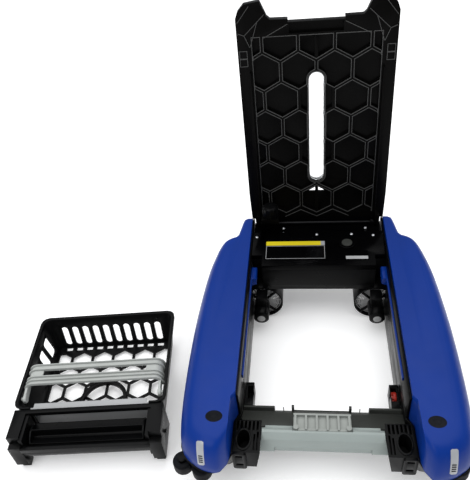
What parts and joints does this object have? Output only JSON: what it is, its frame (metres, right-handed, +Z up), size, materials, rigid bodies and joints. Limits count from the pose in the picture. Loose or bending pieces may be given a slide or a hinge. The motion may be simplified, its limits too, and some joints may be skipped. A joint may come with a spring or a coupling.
{
  "type": "solar pool-surface skimmer robot",
  "caption": "Twin-float solar pool skimmer with its honeycomb-ribbed lid open and its debris basket with paddle roller lifted out and set down beside it.",
  "frame": {"origin": "middle of the bounding box of robot and basket together, on the ground they stand on", "axes": "+Z up, -Y towards the robot's front, where debris enters, +X to the right as seen from the front"},
  "size_m": [0.7382, 0.557, 0.5633],
  "materials": {
    "blue_shell": "satin",
    "black_plastic": "satin, lightly textured",
    "gloss_black": "gloss",
    "dark_grey": "matt",
    "light_grey": "matt",
    "clear_plastic": "clear, gloss",
    "lamp": "clear over a pale lining",
    "red_plastic": "satin",
    "rubber": "matt",
    "steel": "brushed",
    "foam": "closed-cell foam block",
    "solar_cells": "glass over dark cells",
    "battery_wrap": "shrink wrap",
    "circuit_board": "solder mask",
    "notice_yellow": "printed film, satin",
    "silver_strip": "metallic paint"
  },
  "bodies": {
    "robot": {"hull_right": "black_plastic", "hull_left": "black_plastic", "shell_right": "blue_shell", "shell_left": "blue_shell", "nose_plug_right": "dark_grey", "nose_plug_left": "dark_grey", "lamp_lens_right": "lamp", "lamp_lens_left": "lamp", "float_foam_right": "foam", "float_foam_left": "foam", "bay_rail_right": "black_plastic", "bay_rail_left": "black_plastic", "bay_ledge_right": "blue_shell", "bay_ledge_left": "blue_shell", "rear_housing": "black_plastic", "rear_deck": "gloss_black", "hinge_rod": "steel", "notice_plate": "notice_yellow", "rating_plate": "silver_strip", "button_bezel": "gloss_black", "battery_pack": "battery_wrap", "control_board": "circuit_board", "thruster_pod_right": "black_plastic", "thruster_pod_left": "black_plastic", "pod_cap_right": "light_grey", "pod_cap_left": "light_grey", "thruster_motor_right": "steel", "thruster_motor_left": "steel", "propeller_guard_right": "black_plastic", "propeller_guard_left": "black_plastic", "front_beam": "dark_grey", "latch_pin": "steel", "front_handle": "light_grey", "corner_block_right": "black_plastic", "corner_block_left": "black_plastic", "drive_bracket_right": "black_plastic", "idler_bracket_left": "black_plastic", "paddle_motor": "steel"},
    "lid": {"lid_frame": "gloss_black", "solar_panel_right": "solar_cells", "solar_panel_left": "solar_cells", "lid_window": "clear_plastic", "panel_cable_gland": "black_plastic"},
    "latch": {"basket_latch": "light_grey"},
    "button": {"power_button": "dark_grey"},
    "roller_arm_right_body": {"roller_arm_right": "black_plastic"},
    "roller_arm_left_body": {"roller_arm_left": "black_plastic"},
    "guide_roller_right_outer_body": {"guide_roller_right_outer": "rubber"},
    "guide_roller_right_inner_body": {"guide_roller_right_inner": "rubber"},
    "guide_roller_left_outer_body": {"guide_roller_left_outer": "rubber"},
    "guide_roller_left_inner_body": {"guide_roller_left_inner": "rubber"},
    "propeller_right_body": {"propeller_right": "light_grey"},
    "propeller_left_body": {"propeller_left": "light_grey"},
    "drive_coupling_body": {"drive_coupling": "red_plastic"},
    "basket": {"basket_tray": "black_plastic", "paddle_trough": "black_plastic", "floor_ring": "black_plastic"},
    "basket_handle_body": {"basket_handle": "light_grey"},
    "debris_flap_body": {"debris_flap": "silver_strip"},
    "paddle_roller_body": {"paddle_roller": "dark_grey"}
  },
  "joints": [
    {"name": "lid_hinge", "type": "hinge", "parent": "robot", "child": "lid", "pos_m": [0.15227, 0.22458, 0.141], "axis": [1, 0, 0], "range_deg": [0, 93.8]},
    {"name": "latch_pivot", "type": "hinge", "parent": "robot", "child": "latch", "pos_m": [0.15227, -0.18742, 0.0845], "axis": [-1, 0, 0], "range_deg": [0, 25], "stiffness_Nm_per_rad": 0.06, "springref_deg": -5.73},
    {"name": "button_press", "type": "slide", "parent": "robot", "child": "button", "axis": [0, 0, -1], "range_m": [0, 0.0015], "stiffness_N_per_m": 400, "springref_m": -0.0003},
    {"name": "roller_arm_right_pivot", "type": "hinge", "parent": "robot", "child": "roller_arm_right_body", "pos_m": [0.32427, -0.24342, 0.08], "axis": [0, 0, 1], "range_deg": [-71, 9]},
    {"name": "roller_arm_left_pivot", "type": "hinge", "parent": "robot", "child": "roller_arm_left_body", "pos_m": [-0.01973, -0.24342, 0.08], "axis": [0, 0, 1], "range_deg": [-74, 6]},
    {"name": "guide_roller_right_outer_spin", "type": "hinge", "parent": "roller_arm_right_body", "child": "guide_roller_right_outer_body", "pos_m": [0.34693, -0.21544, 0.07], "axis": [0, 0, 1], "continuous": true},
    {"name": "guide_roller_right_inner_spin", "type": "hinge", "parent": "roller_arm_right_body", "child": "guide_roller_right_inner_body", "pos_m": [0.34209, -0.24593, 0.07], "axis": [0, 0, 1], "continuous": true},
    {"name": "guide_roller_left_outer_spin", "type": "hinge", "parent": "roller_arm_left_body", "child": "guide_roller_left_outer_body", "pos_m": [-0.05466, -0.25213, 0.07], "axis": [0, 0, 1], "continuous": true},
    {"name": "guide_roller_left_inner_spin", "type": "hinge", "parent": "roller_arm_left_body", "child": "guide_roller_left_inner_body", "pos_m": [-0.02499, -0.26063, 0.07], "axis": [0, 0, 1], "continuous": true},
    {"name": "propeller_right_spin", "type": "hinge", "parent": "robot", "child": "propeller_right_body", "pos_m": [0.26027, 0.11858, 0.042], "axis": [0, 1, 0], "continuous": true},
    {"name": "propeller_left_spin", "type": "hinge", "parent": "robot", "child": "propeller_left_body", "pos_m": [0.04427, 0.11858, 0.042], "axis": [0, 1, 0], "continuous": true},
    {"name": "coupling_spin", "type": "hinge", "parent": "robot", "child": "drive_coupling_body", "pos_m": [0.26827, -0.12242, 0.058], "axis": [1, 0, 0], "continuous": true},
    {"name": "basket_lift", "type": "slide", "parent": "robot", "child": "basket", "axis": [0, 0, 1], "range_m": [0, 0.3]},
    {"name": "handle_pivot", "type": "hinge", "parent": "basket", "child": "basket_handle_body", "pos_m": [-0.22807, -0.14026, 0.072], "axis": [0.9962, 0.0872, 0], "range_deg": [0, 90]},
    {"name": "flap_pivot", "type": "hinge", "parent": "basket", "child": "debris_flap_body", "pos_m": [-0.22615, -0.16218, 0.074], "axis": [0.9962, 0.0872, 0], "range_deg": [0, 60]},
    {"name": "paddle_spin", "type": "hinge", "parent": "basket", "child": "paddle_roller_body", "pos_m": [-0.22319, -0.19605, 0.045], "axis": [0.9962, 0.0872, 0], "continuous": true}
  ]
}
